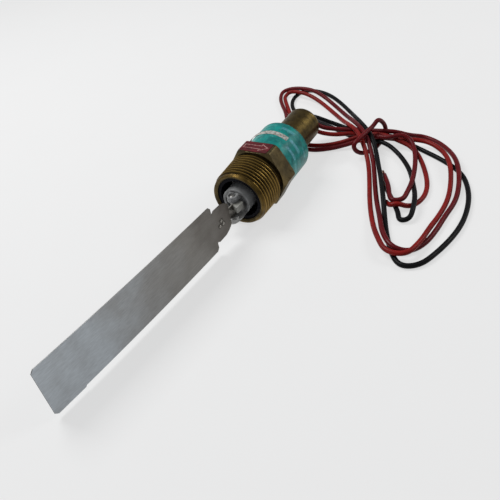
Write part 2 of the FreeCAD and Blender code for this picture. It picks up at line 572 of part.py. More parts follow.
def make_bare_ends():
    """Stripped conductor at the far end of each lead."""
    ends = []
    for route in (BLACK_ROUTE, RED_ROUTE, CRIMSON_ROUTE):
        last, before = V(*route[-1]), V(*route[-2])
        ends.append(Part.makeCylinder(BARE_R, BARE_LENGTH, last, last - before))
    return Part.makeCompound(ends)


def make_lead_tie():
    """Turn of the same insulated wire round the bundle, its top pinched to a peak."""
    return make_lead("lead_tie", [(px, py + LAY_SHIFT, pz) for px, py, pz in TIE_ROUTE])


# ---------------------------------------------------------------- nodes
NODES = {
    "fitting_body": make_fitting_body,
    "label_sleeve": make_label_sleeve,
    "flow_arrow_plate": make_arrow_plate,
    "bore_liner": make_bore_liner,
    "retaining_ring": make_retaining_ring,
    "hinge_hub": make_hinge_hub,
    "hub_seal": lambda: torus(FRONT_BORE_R - 0.95, 0.83, FLANGE_START + 2.0),
    "hinge_pin": make_hinge_pin,
    "pin_clip": make_pin_clip,
    "hinge_arm": make_hinge_arm,
    "paddle_blade": make_paddle_blade,
    "blade_rivets": make_blade_rivets,
    "magnet_holder": make_magnet_holder,
    "magnet": make_magnet,
    "return_spring": make_return_spring,
    "rear_cap": make_cap,
    "cap_seal": lambda: torus(CAP_SEAT_R - 0.65, 0.62, STEM_END - CAP_SEAT_DEPTH + 3.4),
    "lead_bushing": make_lead_bushing,
    "potting_plug": make_potting,
    "lead_splices": make_splices,
    "inner_leads": make_inner_leads,
    "reed_capsule": make_reed_capsule,
    "reed_contacts": make_reed_contacts,
    "reed_carrier": make_reed_carrier,
    "reed_tails": make_reed_tails,
    "black_lead": lambda: make_lead("black_lead", BLACK_ROUTE),
    "red_lead": lambda: make_lead("red_lead", RED_ROUTE),
    "crimson_lead": lambda: make_lead("crimson_lead", CRIMSON_ROUTE),
    "lead_tie": make_lead_tie,
    "bare_ends": make_bare_ends,
}

os.makedirs("parts", exist_ok=True)
for node, make in NODES.items():
    shape = make()
    if not shape.isValid() or shape.Volume <= 0:
        print("check", node, "valid", shape.isValid(), "volume %.2f" % shape.Volume)
    shape.exportStep("parts/" + node + ".step")
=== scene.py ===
# %% [markdown]
# # A paddle flow switch
# A brass fitting screws into a pipe, and a long steel paddle hangs from it into the water. Moving water
# pushes the paddle, which carries a magnet past a sealed reed switch, and three leads bring the contacts out.
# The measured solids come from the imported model. They fix where everything is, and this file gives each of
# them its looks: some keep their solid and get a finish, others are modelled again with finer detail.

# %% Load the measured solids
import json
import math

import bmesh
import bpy
from mathutils import Euler, Matrix, Vector


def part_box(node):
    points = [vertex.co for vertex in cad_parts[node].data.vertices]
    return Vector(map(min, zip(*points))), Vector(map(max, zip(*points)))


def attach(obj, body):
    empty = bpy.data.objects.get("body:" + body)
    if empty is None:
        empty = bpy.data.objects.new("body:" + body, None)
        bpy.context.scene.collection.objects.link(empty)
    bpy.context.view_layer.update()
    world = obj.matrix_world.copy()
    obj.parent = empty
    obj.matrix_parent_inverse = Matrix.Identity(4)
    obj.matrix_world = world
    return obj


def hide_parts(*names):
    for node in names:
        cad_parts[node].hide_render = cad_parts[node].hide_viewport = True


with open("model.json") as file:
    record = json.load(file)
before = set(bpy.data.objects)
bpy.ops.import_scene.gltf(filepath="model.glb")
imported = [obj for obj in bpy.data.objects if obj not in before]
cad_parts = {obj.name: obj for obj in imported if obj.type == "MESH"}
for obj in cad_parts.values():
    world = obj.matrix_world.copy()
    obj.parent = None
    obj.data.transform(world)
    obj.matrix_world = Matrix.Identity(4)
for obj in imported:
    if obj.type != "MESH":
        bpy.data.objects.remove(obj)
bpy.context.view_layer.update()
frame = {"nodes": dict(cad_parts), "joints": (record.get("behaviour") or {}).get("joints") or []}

nodes = frame["nodes"]
scene = bpy.context.scene
MM = 0.001

# %% [markdown]
# ## Where things are
# The switch lies along Y, so most pieces are turned about one line: the fitting's axis. Its height is the
# hinge's height, and the mouth of the fitting is the lowest Y of the brass body. The turned pieces and the
# patterns on them are placed from these two. Their own sizes are written out where they are used and follow
# the solids' to about half a millimetre, so a size that changes there has to be changed here too.

# %% Axis and mouth
AXIS_Z = frame["joints"][0]["pos_m"][2]
MOUTH_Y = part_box("fitting_body")[0].y
print("in mm: axis height", round(AXIS_Z / MM, 2), "mouth at", round(MOUTH_Y / MM, 2))

# %% [markdown]
# ## The camera
# The view looks down at about forty degrees from in front and to the right of the paddle's tip. A camera
# turned by three angles is easy to read: tipped up from straight down, rolled a little, and swung round.

# %% Camera
camera = bpy.data.objects.new("camera", bpy.data.cameras.new("camera"))
camera.data.sensor_width = 36.0
camera.data.lens = 42.08
camera.location = (0.15512, -0.18841, 0.19763)
camera.rotation_euler = Euler([math.radians(a) for a in (50.188, 8.638, 28.423)])
scene.collection.objects.link(camera)
scene.camera = camera

# %% [markdown]
# ## Making a material
# Nearly every finish here is one Principled shader with a little noise in its colour, roughness and bump.
# A few small helpers keep the recipes short: a shader with its plain values, noise on object coordinates, a
# blend between two colours, a bump, and steps of arithmetic. The noise can be stretched, for brush marks.

# %% A shader, and noise for it
def plug(tree, output, socket):
    """Link an output to an input."""
    tree.links.new(output, socket)


def shader(name, color, roughness, metallic=0.0, **values):
    """A material, its node tree and its Principled shader with plain values set."""
    material = bpy.data.materials.new(name)
    material.use_nodes = True
    tree = material.node_tree
    surface = tree.nodes["Principled BSDF"]
    surface.inputs["Base Color"].default_value = (*color, 1.0)
    surface.inputs["Roughness"].default_value = roughness
    surface.inputs["Metallic"].default_value = metallic
    for socket, value in values.items():
        surface.inputs[socket.replace("_", " ")].default_value = value
    return material, tree, surface


def object_place(tree, scale=(1, 1, 1), turn=(0, 0, 0)):
    """Object coordinates, stretched, and turned by degrees."""
    coordinates = tree.nodes.new("ShaderNodeTexCoord")
    mapping = tree.nodes.new("ShaderNodeMapping")
    mapping.inputs["Scale"].default_value = scale
    mapping.inputs["Rotation"].default_value = [math.radians(a) for a in turn]
    plug(tree, coordinates.outputs["Object"], mapping.inputs["Vector"])
    return mapping.outputs["Vector"]


def noise(tree, size, detail=4.0, low=0.35, high=0.65, **place):
    """Noise with spots of about that size in millimetres, spread between 0 and 1."""
    texture = tree.nodes.new("ShaderNodeTexNoise")
    texture.inputs["Scale"].default_value = 1.0 / (size * MM)
    texture.inputs["Detail"].default_value = detail
    plug(tree, object_place(tree, **place), texture.inputs["Vector"])
    spread = tree.nodes.new("ShaderNodeMapRange")
    spread.inputs["From Min"].default_value = low
    spread.inputs["From Max"].default_value = high
    plug(tree, texture.outputs["Fac"], spread.inputs["Value"])
    return spread.outputs["Result"]


# %% Blends, steps of arithmetic and relief
def blend(tree, factor, first, second):
    """Colour between first and second, each a colour or a socket."""
    mix = tree.nodes.new("ShaderNodeMix")
    mix.data_type = "RGBA"
    plug(tree, factor, mix.inputs["Factor"])
    for socket, value in ((mix.inputs[6], first), (mix.inputs[7], second)):
        if isinstance(value, tuple):
            socket.default_value = (*value, 1.0)
        else:
            plug(tree, value, socket)
    return mix.outputs[2]


def between(tree, factor, low, high):
    """Number that runs from low to high as factor runs from 0 to 1."""
    spread = tree.nodes.new("ShaderNodeMapRange")
    spread.inputs["To Min"].default_value = low
    spread.inputs["To Max"].default_value = high
    plug(tree, factor, spread.inputs["Value"])
    return spread.outputs["Result"]


def math_node(tree, operation, first, second=0.0):
    """One step of arithmetic on sockets or numbers."""
    node = tree.nodes.new("ShaderNodeMath")
    node.operation = operation
    for socket, value in zip(node.inputs, (first, second)):
        if isinstance(value, (int, float)):
            socket.default_value = value
        else:
            plug(tree, value, socket)
    return node.outputs["Value"]


def bump(tree, surface, height, depth, strength):
    """Surface relief of that depth in millimetres."""
    node = tree.nodes.new("ShaderNodeBump")
    node.inputs["Distance"].default_value = depth * MM
    node.inputs["Strength"].default_value = strength
    plug(tree, height, node.inputs["Height"])
    plug(tree, node.outputs["Normal"], surface.inputs["Normal"])


# %% Where a point of the surface is
def ramp(tree, value, first, last):
    """0 at first, 1 at last, held at both ends."""
    spread = tree.nodes.new("ShaderNodeMapRange")
    spread.inputs["From Min"].default_value = first
    spread.inputs["From Max"].default_value = last
    plug(tree, value, spread.inputs["Value"])
    return spread.outputs["Result"]


def round_axis(tree):
    """Millimetres behind the mouth, radius in millimetres and angle in degrees about the fitting's axis."""
    separate = tree.nodes.new("ShaderNodeSeparateXYZ")
    plug(tree, object_place(tree), separate.inputs["Vector"])
    side, height = separate.outputs["X"], math_node(tree, "SUBTRACT", separate.outputs["Z"], AXIS_Z)
    square = math_node(tree, "ADD", math_node(tree, "MULTIPLY", side, side),
                       math_node(tree, "MULTIPLY", height, height))
    behind = math_node(tree, "DIVIDE", math_node(tree, "SUBTRACT", separate.outputs["Y"], MOUTH_Y), MM)
    radius = math_node(tree, "DIVIDE", math_node(tree, "SQRT", square), MM)
    angle = math_node(tree, "DEGREES", math_node(tree, "ARCTAN2", height, side))
    return behind, radius, angle


# %% [markdown]
# ## Wire insulation
# The leads are ordinary hook-up wire in soft PVC: even colour, a soft shine and hardly any texture. A slow
# noise dulls the shine in places, as handling does, and a faint one lets the colour drift along its length.

# %% Wire materials
def wire_insulation(name, color, drift, roughness, shine):
    """Soft PVC whose colour drifts between two tones."""
    material, tree, surface = shader(name, color, roughness, IOR=1.46, Specular_IOR_Level=shine)
    plug(tree, blend(tree, noise(tree, 9.0, detail=2.0), color, drift), surface.inputs["Base Color"])
    handled = noise(tree, 5.0, detail=3.0)
    plug(tree, between(tree, handled, roughness - 0.06, roughness + 0.14), surface.inputs["Roughness"])
    bump(tree, surface, noise(tree, 0.8, detail=3.0), 0.015, 0.5)
    return material


black_insulation = wire_insulation("wire_black", (0.004, 0.004, 0.0045), (0.007, 0.007, 0.008), 0.40, 0.10)
red_insulation = wire_insulation("wire_red", (0.215, 0.008, 0.006), (0.150, 0.006, 0.005), 0.38, 0.16)
crimson_insulation = wire_insulation("wire_crimson", (0.085, 0.003, 0.006), (0.120, 0.005, 0.007), 0.36, 0.16)

# %% [markdown]
# ## The leads
# Each lead is a limp cord of a fixed length, shown from end to end. It leaves the cap, drops to the table,
# makes one large loop, goes back under the tie and round a second loop, and ends in a small third one.
# A NURBS curve that the listed points pull along bends the way soft wire does, and a round bevel gives it
# its thickness. Where one wire crosses another, its height rises by about a diameter.

# %% Routes of the three leads, in metres
BLACK_ROUTE = [
    (0, 0.115, 0.0194), (0, 0.1195, 0.0192), (0.001, 0.1265, 0.0155), (0.004, 0.132, 0.011),
    (0.0095, 0.1346, 0.0076), (0.015, 0.135, 0.006), (0.0215, 0.1343, 0.0046), (0.0285, 0.1332, 0.0034),
    (0.037, 0.132, 0.0032), (0.045, 0.1318, 0.0046), (0.053, 0.1316, 0.0046), (0.062, 0.13, 0.002),
    (0.0723, 0.1252, 0.0015), (0.0843, 0.1186, 0.0015), (0.0946, 0.1116, 0.0015), (0.1025, 0.1035, 0.0015),
    (0.108, 0.0915, 0.0015), (0.1112, 0.0783, 0.0015), (0.1122, 0.063, 0.0015), (0.1104, 0.049, 0.0015),
    (0.1063, 0.035, 0.0015), (0.1012, 0.023, 0.0015), (0.0924, 0.019, 0.0015), (0.0854, 0.027, 0.0015),
    (0.078, 0.042, 0.0015), (0.0728, 0.055, 0.0016), (0.0677, 0.0675, 0.0062), (0.0603, 0.0855, 0.005),
    (0.054, 0.0995, 0.0044), (0.0489, 0.1102, 0.0066), (0.0436, 0.1188, 0.01), (0.0364, 0.1274, 0.0109),
    (0.0272, 0.14, 0.0082), (0.0151, 0.1576, 0.003), (0.0017, 0.1727, 0.0015), (-0.0113, 0.1834, 0.0015),
    (-0.0238, 0.1885, 0.0015), (-0.0345, 0.187, 0.0015), (-0.0374, 0.1763, 0.0015),
    (-0.0345, 0.1645, 0.0015), (-0.027, 0.1538, 0.0015), (-0.0165, 0.148, 0.0015), (-0.004, 0.1433, 0.0015),
    (0.009, 0.1385, 0.0015), (0.0225, 0.1315, 0.0015), (0.036, 0.1254, 0.002), (0.0445, 0.1244, 0.0045),
    (0.052, 0.122, 0.0045), (0.059, 0.1186, 0.0022), (0.067, 0.1098, 0.0015), (0.0734, 0.0998, 0.0015),
    (0.0789, 0.087, 0.0015), (0.0835, 0.0745, 0.0043), (0.086, 0.063, 0.0044), (0.0864, 0.0554, 0.0024),
    (0.0812, 0.0534, 0.0015), (0.0784, 0.0604, 0.0015), (0.0745, 0.0665, 0.0015), (0.07, 0.0735, 0.0015),
    (0.0648, 0.081, 0.0015)]
RED_ROUTE = [
    (-0.0022, 0.115, 0.0156), (-0.0022, 0.1195, 0.0154), (-0.0005, 0.1226, 0.0095),
    (0.0055, 0.1223, 0.0068), (0.012, 0.1238, 0.0052), (0.0185, 0.1262, 0.0044), (0.027, 0.1293, 0.0049),
    (0.0365, 0.1289, 0.0036), (0.045, 0.1284, 0.0046), (0.0525, 0.1283, 0.0046), (0.06, 0.1285, 0.0051),
    (0.0675, 0.1302, 0.0049), (0.076, 0.1298, 0.0045), (0.085, 0.1232, 0.0045), (0.0915, 0.114, 0.0045),
    (0.0958, 0.1024, 0.0045), (0.0988, 0.0898, 0.0016), (0.1003, 0.0763, 0.0015), (0.0993, 0.0625, 0.0015),
    (0.0982, 0.0505, 0.0034), (0.0973, 0.037, 0.0045), (0.0938, 0.025, 0.0045), (0.0832, 0.0242, 0.0045),
    (0.0758, 0.034, 0.0045), (0.069, 0.0465, 0.0018), (0.0612, 0.064, 0.0015), (0.0542, 0.0836, 0.0015),
    (0.0485, 0.0985, 0.0024), (0.0436, 0.1076, 0.0056), (0.0394, 0.1131, 0.0096), (0.0324, 0.1229, 0.0108),
    (0.0244, 0.1312, 0.0092), (0.0134, 0.1458, 0.0032), (-0.0003, 0.1598, 0.0016), (-0.0146, 0.1706, 0.003),
    (-0.0265, 0.176, 0.0048), (-0.0365, 0.1783, 0.0047), (-0.0432, 0.18, 0.003), (-0.0448, 0.1743, 0.0016),
    (-0.0405, 0.167, 0.0015), (-0.033, 0.1563, 0.0015), (-0.0268, 0.1472, 0.0015), (-0.02, 0.136, 0.0015),
    (-0.0105, 0.122, 0.0015), (-0.001, 0.1132, 0.0015), (0.0095, 0.1142, 0.0015), (0.02, 0.119, 0.002),
    (0.0285, 0.1232, 0.0042), (0.0365, 0.127, 0.0062), (0.045, 0.1276, 0.0075), (0.0515, 0.1268, 0.0071),
    (0.059, 0.1252, 0.0056), (0.066, 0.124, 0.0039), (0.0725, 0.1185, 0.002), (0.079, 0.1073, 0.0015),
    (0.0846, 0.0945, 0.0015), (0.0874, 0.084, 0.0015), (0.0873, 0.0745, 0.0016), (0.0833, 0.0665, 0.0016),
    (0.0768, 0.0636, 0.0049), (0.0724, 0.0629, 0.0029), (0.0695, 0.0675, 0.0015)]
CRIMSON_ROUTE = [
    (0.0022, 0.115, 0.0156), (0.0022, 0.1195, 0.0154), (0.0042, 0.1234, 0.0118), (0.008, 0.1256, 0.0084),
    (0.014, 0.1284, 0.0068), (0.022, 0.131, 0.0058), (0.031, 0.1326, 0.0062), (0.039, 0.1322, 0.0066),
    (0.0465, 0.132, 0.0074), (0.054, 0.133, 0.0073), (0.062, 0.136, 0.004), (0.069, 0.141, 0.0015),
    (0.0792, 0.1366, 0.0015), (0.0885, 0.1265, 0.0028), (0.095, 0.1158, 0.0044), (0.0998, 0.1042, 0.0044),
    (0.103, 0.0912, 0.0018), (0.1043, 0.0778, 0.0015), (0.1023, 0.0634, 0.0015), (0.1012, 0.05, 0.0015),
    (0.0988, 0.0387, 0.0015), (0.0933, 0.0302, 0.0018), (0.0846, 0.0288, 0.0042), (0.077, 0.0383, 0.0044),
    (0.0714, 0.051, 0.0042), (0.0643, 0.0665, 0.0018), (0.0572, 0.0842, 0.0015), (0.0515, 0.0992, 0.0026),
    (0.0463, 0.109, 0.006), (0.041, 0.1175, 0.0098), (0.0348, 0.1249, 0.0112), (0.0249, 0.1377, 0.0084),
    (0.0127, 0.1536, 0.003), (-0.0012, 0.1681, 0.0016), (-0.0131, 0.1756, 0.0044),
    (-0.0266, 0.1839, 0.0048), (-0.0414, 0.1848, 0.0042), (-0.05, 0.1815, 0.0022),
    (-0.0472, 0.1715, 0.0015), (-0.041, 0.162, 0.0015), (-0.033, 0.1518, 0.0015), (-0.0248, 0.1375, 0.0015),
    (-0.0155, 0.1225, 0.0015), (-0.005, 0.11, 0.0015), (0.007, 0.1076, 0.0015), (0.019, 0.1134, 0.0016),
    (0.029, 0.1188, 0.0034), (0.037, 0.1234, 0.0054), (0.045, 0.1242, 0.0075), (0.0525, 0.1234, 0.0083),
    (0.0595, 0.1266, 0.0096), (0.0655, 0.1258, 0.0076), (0.0698, 0.1195, 0.0054), (0.0733, 0.11, 0.0044),
    (0.0769, 0.0955, 0.0045), (0.0786, 0.084, 0.0047), (0.0788, 0.0758, 0.0045), (0.0788, 0.0682, 0.0046),
    (0.0732, 0.0655, 0.0046), (0.07, 0.071, 0.0044), (0.0672, 0.0785, 0.0044), (0.0625, 0.0875, 0.0032),
    (0.06, 0.0925, 0.0018)]


# %% One lead from a route
WIRE_D = 0.0028


def nurbs_wire(name, routes, diameter, material):
    """Round wire along one or more NURBS splines."""
    curve = bpy.data.curves.new(name, "CURVE")
    curve.dimensions = "3D"
    curve.bevel_depth = diameter / 2
    curve.bevel_resolution = 5
    curve.use_fill_caps = True
    for route in routes:
        spline = curve.splines.new("NURBS")
        spline.points.add(len(route) - 1)
        for point, place in zip(spline.points, route):
            point.co = (*place, 1.0)
        spline.order_u = 3
        spline.use_endpoint_u = True
        spline.resolution_u = 7
    curve.materials.append(material)
    wire = bpy.data.objects.new(name, curve)
    scene.collection.objects.link(wire)
    return wire


def lead(name, route, material):
    """A free lead that stands for the solid of the same name."""
    wire = nurbs_wire(name + "_wire", [route], WIRE_D, material)
    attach(wire, "switch_body")
    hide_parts(name)
    return wire


black = lead("black_lead", BLACK_ROUTE, black_insulation)
red = lead("red_lead", RED_ROUTE, red_insulation)
crimson = lead("crimson_lead", CRIMSON_ROUTE, crimson_insulation)

# %% [markdown]
# ## Stripped ends
# The last few millimetres of each lead are bare: seven copper strands laid in a slow twist. A strand is a
# thin wire on a helix, so a loop places its points round the line of the lead's end and lets them spread a
# little towards the tip, as cut strands do.

# %% Copper strands
BARE_LENGTH = 7.0 * MM
STRAND_D = 0.5 * MM
STRAND_RING_R = 0.52 * MM    # six strands lie in a ring round the seventh
STRAND_START = 0.4 * MM      # how far inside the insulation they begin
STRAND_TWIST = 2.2           # radians from end to end
STRAND_FLARE = 0.35          # how much wider the ring is at the tip

copper, tree, surface = shader("copper_strands", (0.52, 0.25, 0.13), 0.34, 1.0)
plug(tree, blend(tree, noise(tree, 1.5), (0.58, 0.30, 0.17), (0.36, 0.17, 0.10)),
     surface.inputs["Base Color"])


def bare_end(name, route):
    """Twisted strands that carry on from the last point of a route."""
    start, before = Vector(route[-1]), Vector(route[-2])
    along = (start - before).normalized()
    side = along.cross(Vector((0, 0, 1))).normalized()
    up = side.cross(along)
    strands = []
    for k in range(7):
        reach = 0.0 if k == 6 else STRAND_RING_R
        length = BARE_LENGTH * (0.94 + 0.01 * k)    # the strands are cut a little unevenly
        points = []
        for step in range(9):
            share = step / 8
            turn = k * math.pi / 3 + share * STRAND_TWIST
            spread = reach * (1.0 + STRAND_FLARE * share ** 3)
            place = start + along * (share * length - STRAND_START)
            points.append(place + side * spread * math.cos(turn) + up * spread * math.sin(turn))
        strands.append(points)
    wires = nurbs_wire(name, strands, STRAND_D, copper)
    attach(wires, "switch_body")
    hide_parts("bare_ends")
    return wires


black_end = bare_end("black_bare_end", BLACK_ROUTE)
red_end = bare_end("red_bare_end", RED_ROUTE)
crimson_end = bare_end("crimson_bare_end", CRIMSON_ROUTE)

# %% [markdown]
# ## The tie
# A spare piece of the crimson wire holds the bundle together. It goes once round the leads where they cross
# the big loop, and stands up above them in a small open loop. One NURBS spline makes the turn, and its two
# cut ends lie tucked under the bundle.

# %% Tie
TIE_ROUTE = [
    (0.045, 0.1205, 0.0015), (0.0465, 0.1338, 0.0015), (0.0465, 0.1368, 0.0058), (0.0454, 0.1354, 0.0113),
    (0.0434, 0.1304, 0.0164), (0.0416, 0.1265, 0.0132), (0.0403, 0.1205, 0.0132), (0.0384, 0.111, 0.0128),
    (0.0358, 0.1063, 0.0106), (0.0368, 0.1075, 0.0055), (0.0405, 0.112, 0.0015), (0.0436, 0.1176, 0.0015)]
tie = nurbs_wire("lead_tie_wire", [TIE_ROUTE], WIRE_D, crimson_insulation)
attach(tie, "switch_body")
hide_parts("lead_tie")

# %% [markdown]
# ## Brass
# The body is old turned brass: nearly black-brown where grease and tarnish sit, olive where it is only dull,
# and gold where hands and spanners have rubbed it. Tarnish is a large soft noise, grime a smaller one. On
# the thread the distance from the axis tells crest from groove: the crests get a thin painted highlight and
# the grooves get painted shade. A sine along the axis paints fine light and dark rings on the rim, painted
# highlights and shade of the rings the lathe cut there.

# %% Brass materials
THREAD_TAPER = 1 / 32      # on the radius, per length
CREST_R = 16.3
RIM_LENGTH = 1.9
# pitch of the painted light and dark rings on the rim
RIM_RING_PITCH = 0.62
# how much brighter the painted highlight on the crests is
CREST_HIGHLIGHT_GAIN = 1.6


def tarnished_brass(name, gold, olive, grime_and_shade_color, roughness, threaded=False):
    """Brass from gold to olive with grime over it; if threaded, with painted highlights on the crests,
    painted shade in the grooves and painted rings on the rim.
    """
    material, tree, surface = shader(name, gold, roughness, 1.0)
    tarnish = noise(tree, 9.0, detail=5.0, low=0.34, high=0.66)
    grime = math_node(tree, "MULTIPLY", noise(tree, 3.0, detail=5.0, low=0.44, high=0.80), 0.8)
    color = blend(tree, tarnish, olive, gold)
    color = blend(tree, grime, color, grime_and_shade_color)
    if threaded:
        behind, radius, _ = round_axis(tree)
        level = math_node(tree, "SUBTRACT", radius, math_node(tree, "MULTIPLY", behind, THREAD_TAPER))
        rim = ramp(tree, behind, RIM_LENGTH, RIM_LENGTH - 0.1)
        # The sine paints light and dark rings on the rim: painted highlights and painted shade.
        swell = math_node(tree, "SINE", math_node(tree, "MULTIPLY", behind, 2 * math.pi / RIM_RING_PITCH))
        rim_ring_light = between(tree, ramp(tree, swell, -0.4, 0.9), 0.55, 1.0)
        rim = math_node(tree, "MULTIPLY", rim, rim_ring_light)
        # Away from crests and rim the colour goes to the dark one: painted shade in the grooves.
        clear = math_node(tree, "MAXIMUM", ramp(tree, level, CREST_R - 1.0, CREST_R - 0.2), rim)
        color = blend(tree, clear, grime_and_shade_color, color)
        # The crest line gets a brighter gold: a painted highlight.
        shine = math_node(tree, "MULTIPLY", ramp(tree, level, CREST_R - 0.22, CREST_R - 0.04), 0.8)
        color = blend(tree, shine, color, tuple(c * CREST_HIGHLIGHT_GAIN for c in gold))
    plug(tree, color, surface.inputs["Base Color"])
    plug(tree, between(tree, tarnish, roughness + 0.10, roughness - 0.05), surface.inputs["Roughness"])
    bump(tree, surface, noise(tree, 1.2, detail=3.0, scale=(1, 6, 1)), 0.02, 0.6)
    return material


# Dark brown-black for the grime, and on the thread also for the painted shade in the grooves.
GRIME_AND_SHADE = (0.022, 0.015, 0.008)
body_brass = tarnished_brass("brass_body", (0.165, 0.122, 0.052), (0.090, 0.070, 0.036), GRIME_AND_SHADE, 0.40)
thread_brass = tarnished_brass("brass_thread", (0.205, 0.128, 0.032), (0.085, 0.055, 0.015), GRIME_AND_SHADE, 0.40,
                               threaded=True)
cap_brass = tarnished_brass("brass_cap", (0.135, 0.092, 0.026), (0.075, 0.053, 0.018), GRIME_AND_SHADE, 0.38)

# %% [markdown]
# ## Working in bmesh
# Turned parts are drawn as half a section and spun round the axis. The helpers draw the section as a chain
# of vertices in a plane through the axis, spin it, and write the finished bmesh into an object whose origin
# stays at the frame's origin. Edges of thirty degrees and more are marked sharp, all others shade smoothly.

# %% Bmesh helpers
def chain(bm, profile):
    """Edges through (behind the mouth, radius) points given in millimetres, in the plane X = radius."""
    verts = [bm.verts.new((radius * MM, MOUTH_Y + behind * MM, 0)) for behind, radius in profile]
    edges = [bm.edges.new(pair) for pair in zip(verts, verts[1:])]
    return verts + edges


def spin_round(bm, profile, steps, angle=360.0, climb=0.0):
    """Surface of revolution of a profile about the axis. climb is the advance along the axis per step."""
    full = abs(angle - 360.0) < 1e-6 and climb == 0.0
    bmesh.ops.spin(bm, geom=chain(bm, profile), cent=(0, 0, 0), axis=(0, 1, 0), dvec=(0, climb, 0),
                   angle=math.radians(angle), steps=steps, use_merge=full)


def sharpen(bm):
    """Shade smoothly, apart from edges of thirty degrees and more."""
    for face in bm.faces:
        face.smooth = True
    for edge in bm.edges:
        edge.smooth = len(edge.link_faces) != 2 or edge.calc_face_angle(0.0) < math.radians(30.0)


def finish_piece(bm, name, material, body, stands_for, lift=AXIS_Z):
    """Write a bmesh built round Z = 0 to an object on the axis, dress it and let it ride on its body."""
    bmesh.ops.translate(bm, verts=bm.verts, vec=(0, 0, lift))
    bmesh.ops.recalc_face_normals(bm, faces=bm.faces)
    sharpen(bm)
    mesh = bpy.data.meshes.new(name)
    bm.to_mesh(mesh)
    bm.free()
    mesh.materials.append(material)
    piece = bpy.data.objects.new(name, mesh)
    scene.collection.objects.link(piece)
    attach(piece, body)
    if stands_for:
        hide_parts(stands_for)
    print(name, len(mesh.polygons), "faces")
    return piece


def radius_of(vert):
    """Distance from the axis, before the piece is lifted."""
    return math.hypot(vert.co.x, vert.co.z)


def set_radius(vert, radius):
    """Move a vertex straight out or in to that distance from the axis."""
    share = radius / radius_of(vert)
    vert.co.x *= share
    vert.co.z *= share


# %% [markdown]
# ## Thread
# One tooth of the thread is drawn once, then spun through many turns while it climbs by one pitch per turn.
# That gives a true helix whose crests line up from turn to turn. The taper is added afterwards by pushing
# every vertex outwards in proportion to its distance from the mouth, the lathe's chamfers are cut by limiting
# the radius near both ends, and two bisecting planes trim the helix to length.

# %% Sizes of the thread, in millimetres
PITCH = 25.4 / 11.5      # 11.5 threads to the inch
THREAD_DEPTH = 1.15
THREAD_END = 19.4
TRIM_END = 20.6
TURN_STEPS = 96
CREST_FLAT = 0.22
MERGE = 0.002 * MM       # in metres: corners nearer than this are one

RIM_CORNER_R = 15.1                      # the mouth's outer corner, broken at 45 degrees
LEAD_IN_R, LEAD_IN_RISE = 15.45, 0.22    # the smooth cone between the corner and the first thread
RUN_OUT_R, RUN_OUT_FALL = 16.9, 2.1      # the slope down from the last thread
RELIEF_R = 15.2


def turned_radius(behind, radius):
    """Radius the lathe left there: a smooth lead-in at the mouth, and a relief behind the last thread."""
    if behind < RIM_LENGTH:
        return min(RIM_CORNER_R + behind, LEAD_IN_R + LEAD_IN_RISE * behind)
    if behind < THREAD_END:
        return radius
    return min(radius, max(RELIEF_R, RUN_OUT_R - (behind - THREAD_END) * RUN_OUT_FALL))


# %% Helix, taper and trim
shell = bmesh.new()
crest, root = CREST_R, CREST_R - THREAD_DEPTH
tooth = [(0.0, root), (CREST_FLAT, root), (PITCH / 2, crest), (PITCH / 2 + CREST_FLAT, crest), (PITCH, root)]
turns = math.ceil((TRIM_END + 2 * PITCH) / PITCH)
spin_round(shell, [(behind - 1.5 * PITCH, radius) for behind, radius in tooth], TURN_STEPS * turns,
           angle=360.0 * turns, climb=PITCH * MM / TURN_STEPS)
bmesh.ops.remove_doubles(shell, verts=shell.verts, dist=MERGE)
for vert in shell.verts:
    behind = (vert.co.y - MOUTH_Y) / MM
    radius = radius_of(vert) / MM + behind * THREAD_TAPER
    set_radius(vert, turned_radius(behind, radius) * MM)
for plane, outer in ((0.0, False), (TRIM_END, True)):
    bmesh.ops.bisect_plane(shell, geom=shell.verts[:] + shell.edges[:] + shell.faces[:], dist=1e-7,
                           plane_co=(0, MOUTH_Y + plane * MM, 0), plane_no=(0, 1, 0),
                           clear_outer=outer, clear_inner=not outer)
print("thread turns", turns, "faces", len(shell.faces))

# %% [markdown]
# ## Hexagon, stem and bore
# The rest of the body is the blank as the lathe leaves it: chamfered collar, stem, stepped bore and the
# groove for the retaining ring, all from one section. The six flats are then milled: every vertex that stands
# outside a flat is moved in to it, which leaves the curved chamfer lines of a real hexagon.

# %% Sizes of the blank, in millimetres behind the mouth and from the axis
HEX_FLAT = 34.0 / 2
HEX_START, HEX_END = 22.0, 33.0
HEX_CORNER = 19.45
CHAMFER = (HEX_CORNER - HEX_FLAT + 0.1) * math.tan(math.radians(30))
NECK_R = 15.0
STEM_R, STEM_END = 16.3, 57.6
SOCKET_R, SOCKET_FLOOR = 9.8, 46.0              # takes the cap's spigot
BORE_R = 8.5
MOUTH_R, MOUTH_FLOOR = 13.3, 19.0
GROOVE_R, GROOVE_START, GROOVE_END = 14.2, 13.5, 14.9


def slope(first, last, count):
    """Points in a straight row from first towards last, without the last one."""
    return [tuple(a + (b - a) * k / count for a, b in zip(first, last)) for k in range(count)]


